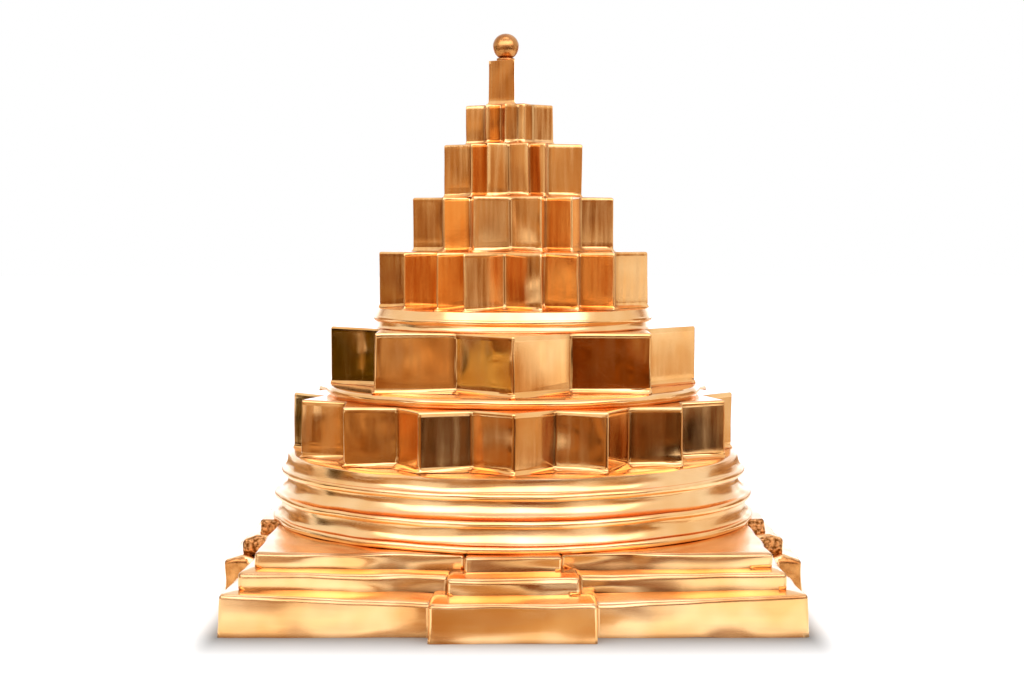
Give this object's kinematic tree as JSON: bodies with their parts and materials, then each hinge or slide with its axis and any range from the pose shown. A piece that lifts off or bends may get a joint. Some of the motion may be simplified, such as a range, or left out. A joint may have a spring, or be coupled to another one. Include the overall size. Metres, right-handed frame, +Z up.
{
  "type": "meru shri yantra",
  "caption": "Stepped yantra mountain of cast metal: gated square plinths, girdle rings, petal stars and triangle tiers rising to a ball, stacked on a tie rod.",
  "frame": {"origin": "centre of the footprint, on the floor", "axes": "+Z up the axis of the stack, -Y to the front, +X to the viewer's right"},
  "size_m": [0.1644, 0.1644, 0.1609],
  "materials": {
    "polished_copper_brass": "polished",
    "steel_fixing": "turned"
  },
  "bodies": {
    "root": {"base_plinth": "polished_copper_brass", "middle_plinth": "polished_copper_brass", "upper_plinth": "polished_copper_brass", "lower_ring": "polished_copper_brass", "middle_ring": "polished_copper_brass", "upper_ring": "polished_copper_brass", "sixteen_petal_tier": "polished_copper_brass", "lower_collar": "polished_copper_brass", "eight_petal_tier": "polished_copper_brass", "upper_collar": "polished_copper_brass", "fourteen_corner_tier": "polished_copper_brass", "outer_ten_tier": "polished_copper_brass", "inner_ten_tier": "polished_copper_brass", "eight_corner_tier": "polished_copper_brass", "triangle_prism": "polished_copper_brass", "bindu": "polished_copper_brass", "tie_rod": "steel_fixing", "clamp_washer": "steel_fixing", "clamp_nut": "steel_fixing"}
  },
  "joints": []
}
